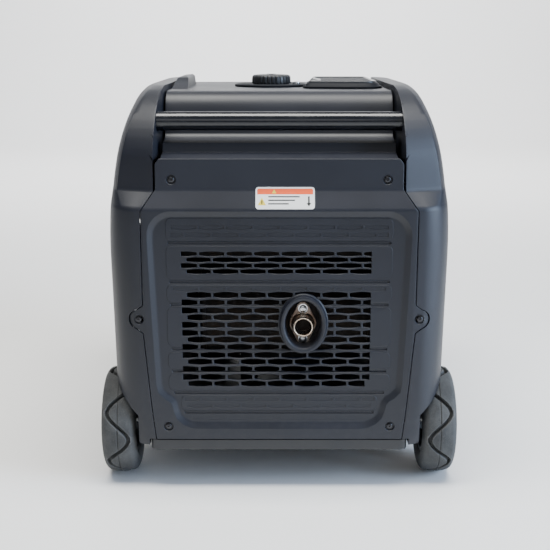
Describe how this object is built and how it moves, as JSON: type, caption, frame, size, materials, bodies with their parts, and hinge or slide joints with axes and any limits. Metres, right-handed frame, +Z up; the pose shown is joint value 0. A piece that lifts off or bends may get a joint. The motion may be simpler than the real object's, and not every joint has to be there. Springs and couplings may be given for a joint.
{
  "type": "portable generator",
  "caption": "Wheeled closed-frame portable generator with slotted exhaust panel, carry bar, tow handle and control panel.",
  "frame": {"origin": "on the ground, under the middle of the whole object", "axes": "+Z up, -Y towards the exhaust end, +Y towards the control end, +X to the right seen from the exhaust end"},
  "size_m": [0.476, 0.6, 0.538],
  "materials": {
    "housing_plastic": "matte charcoal moulded plastic with a fine grain",
    "black_plastic": "black moulded plastic",
    "gloss_trim": "black semi-gloss trim",
    "painted_steel": "black satin powder coat",
    "tyre_rubber": "dusty solid rubber",
    "soft_rubber": "black rubber",
    "stainless": "heat-tinted stainless",
    "zinc_plate": "bright zinc plate",
    "cast_aluminium": "sand-cast aluminium",
    "dark_sheet": "heat-blackened sheet steel",
    "tank_plastic": "black blow-moulded tank",
    "red_plastic": "red button",
    "display_glass": "dark display window",
    "copper_winding": "lacquered copper winding"
  },
  "bodies": {
    "frame": {"left_side_panel": "housing_plastic", "right_side_panel": "housing_plastic", "rear_panel": "housing_plastic", "front_panel": "housing_plastic", "top_cover": "housing_plastic", "left_handle_guide": "black_plastic", "right_handle_guide": "black_plastic", "spark_plug": "black_plastic", "air_filter_box": "black_plastic", "battery": "black_plastic", "control_panel": "black_plastic", "outlet_left": "black_plastic", "outlet_right": "black_plastic", "locking_outlet": "black_plastic", "cap_dish": "gloss_trim", "base_pan": "painted_steel", "front_stand": "painted_steel", "carry_bar": "painted_steel", "valve_cover": "painted_steel", "fan_shroud": "painted_steel", "left_foot": "soft_rubber", "right_foot": "soft_rubber", "rear_engine_mount": "soft_rubber", "front_engine_mount": "soft_rubber", "exhaust_flange": "stainless", "axle": "zinc_plate", "flange_screw_upper": "zinc_plate", "flange_screw_lower": "zinc_plate", "fuel_strainer": "zinc_plate", "ground_terminal": "zinc_plate", "crankcase": "cast_aluminium", "cylinder": "cast_aluminium", "carburettor": "cast_aluminium", "inverter_module": "cast_aluminium", "spark_arrestor_screen": "dark_sheet", "muffler": "dark_sheet", "heat_shield": "dark_sheet", "exhaust_pipe": "dark_sheet", "fuel_tank": "tank_plastic", "display": "display_glass", "stator": "copper_winding"},
    "left_wheel": {"left_tyre": "tyre_rubber", "left_wheel_hub": "black_plastic"},
    "right_wheel": {"right_tyre": "tyre_rubber", "right_wheel_hub": "black_plastic"},
    "tow_handle_body": {"tow_handle": "painted_steel", "tow_handle_grip": "soft_rubber"},
    "fuel_cap_body": {"fuel_cap": "black_plastic"},
    "hatch": {"service_hatch": "gloss_trim"},
    "door": {"service_door": "housing_plastic"},
    "latch": {"door_latch": "black_plastic"},
    "starter": {"pull_grip": "black_plastic", "starter_rope": "soft_rubber"},
    "rotor": {"crankshaft": "zinc_plate", "flywheel_rotor": "dark_sheet"},
    "start_key": {"start_button": "red_plastic"},
    "dial": {"engine_dial": "black_plastic"},
    "breaker": {"breaker_button": "black_plastic"},
    "economy": {"economy_switch": "black_plastic"}
  },
  "joints": [
    {"name": "left_wheel_spin", "type": "hinge", "parent": "frame", "child": "left_wheel", "pos_m": [-0.215, -0.22, 0.073], "axis": [1, 0, 0], "continuous": true},
    {"name": "right_wheel_spin", "type": "hinge", "parent": "frame", "child": "right_wheel", "pos_m": [0.215, -0.22, 0.073], "axis": [1, 0, 0], "continuous": true},
    {"name": "tow_handle_slide", "type": "slide", "parent": "frame", "child": "tow_handle_body", "axis": [0, 1, 0], "range_m": [0, 0.25]},
    {"name": "fuel_cap_turn", "type": "hinge", "parent": "frame", "child": "fuel_cap_body", "pos_m": [-0.011, -0.02, 0.53], "axis": [0, 0, 1], "range_deg": [0, 90]},
    {"name": "service_hatch_lift", "type": "slide", "parent": "frame", "child": "hatch", "axis": [0, 0, 1], "range_m": [0, 0.06]},
    {"name": "service_door_swing", "type": "hinge", "parent": "frame", "child": "door", "pos_m": [0.2257, 0.1156, 0.25], "axis": [0, 0, 1], "range_deg": [0, 110]},
    {"name": "door_latch_turn", "type": "hinge", "parent": "door", "child": "latch", "pos_m": [0.228, -0.069, 0.25], "axis": [1, 0, 0], "range_deg": [0, 90]},
    {"name": "starter_pull", "type": "slide", "parent": "frame", "child": "starter", "axis": [-1, 0, 0], "range_m": [0, 0.14], "stiffness_N_per_m": 80},
    {"name": "rotor_spin", "type": "hinge", "parent": "frame", "child": "rotor", "pos_m": [0, 0.015, 0.19], "axis": [1, 0, 0], "continuous": true},
    {"name": "start_button_press", "type": "slide", "parent": "frame", "child": "start_key", "axis": [0, -1, 0], "range_m": [0, 0.0025], "stiffness_N_per_m": 800},
    {"name": "engine_dial_turn", "type": "hinge", "parent": "frame", "child": "dial", "pos_m": [-0.104, 0.284, 0.285], "axis": [0, 1, 0], "range_deg": [0, 90]},
    {"name": "breaker_button_press", "type": "slide", "parent": "frame", "child": "breaker", "axis": [0, -1, 0], "range_m": [0, 0.0025], "stiffness_N_per_m": 800},
    {"name": "economy_switch_rock", "type": "hinge", "parent": "frame", "child": "economy", "pos_m": [-0.07, 0.282, 0.345], "axis": [1, 0, 0], "range_deg": [0, 12]}
  ]
}
